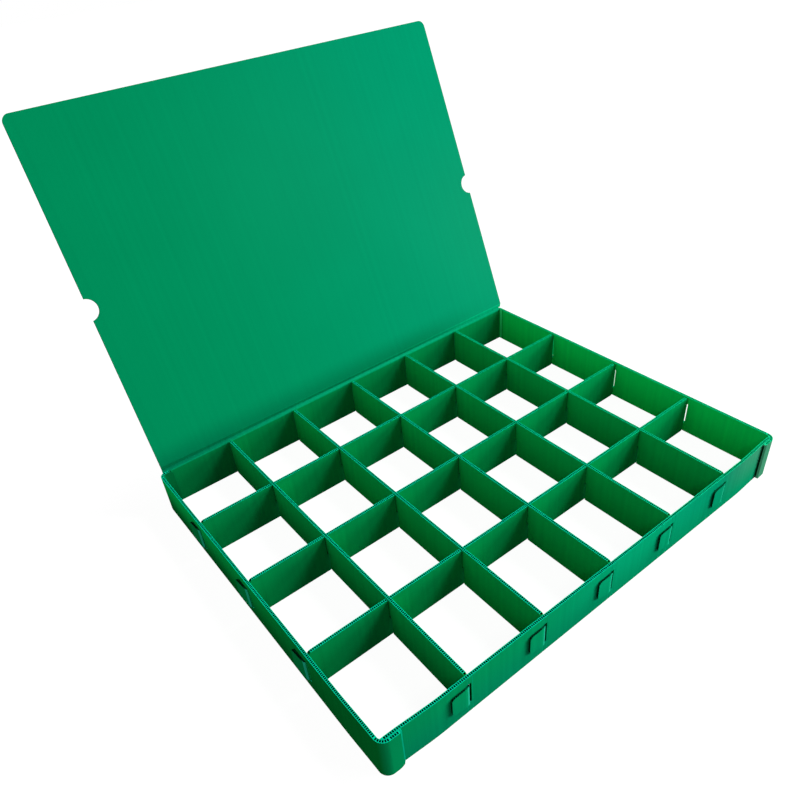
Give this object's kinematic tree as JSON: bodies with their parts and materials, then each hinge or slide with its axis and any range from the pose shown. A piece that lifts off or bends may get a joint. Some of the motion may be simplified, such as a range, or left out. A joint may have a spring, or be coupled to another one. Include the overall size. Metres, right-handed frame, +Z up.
{
  "type": "divided sorting tray box with hinged lid",
  "caption": "Shallow open-grid sorting box of green fluted plastic board, with wrapped corners, interlocked dividers, tabs folded outside the walls and a flat lid creased at the back.",
  "frame": {"origin": "the middle of the tray's underside, where the middle long divider crosses the middle cross divider; the tray stands on Z = 0", "axes": "+X to the right along the lid's crease, +Y from the front wall to the back wall and the crease, +Z up"},
  "size_m": [0.607, 0.6374, 0.4631],
  "materials": {
    "outer_board": "satin",
    "inner_board": "satin"
  },
  "bodies": {
    "tray": {"back_wall": "outer_board", "left_wall": "outer_board", "right_wall": "outer_board", "front_wall": "outer_board", "long_divider_1": "inner_board", "long_divider_2": "inner_board", "long_divider_3": "inner_board", "cross_divider_1": "inner_board", "cross_divider_2": "inner_board", "cross_divider_3": "inner_board", "cross_divider_4": "inner_board", "cross_divider_5": "inner_board"},
    "lid": {"lid": "outer_board"}
  },
  "joints": [
    {"name": "lid_crease", "type": "hinge", "parent": "tray", "child": "lid", "pos_m": [0, 0.2345, 0.0573], "axis": [1, 0, 0], "range_deg": [-75, 112]}
  ]
}
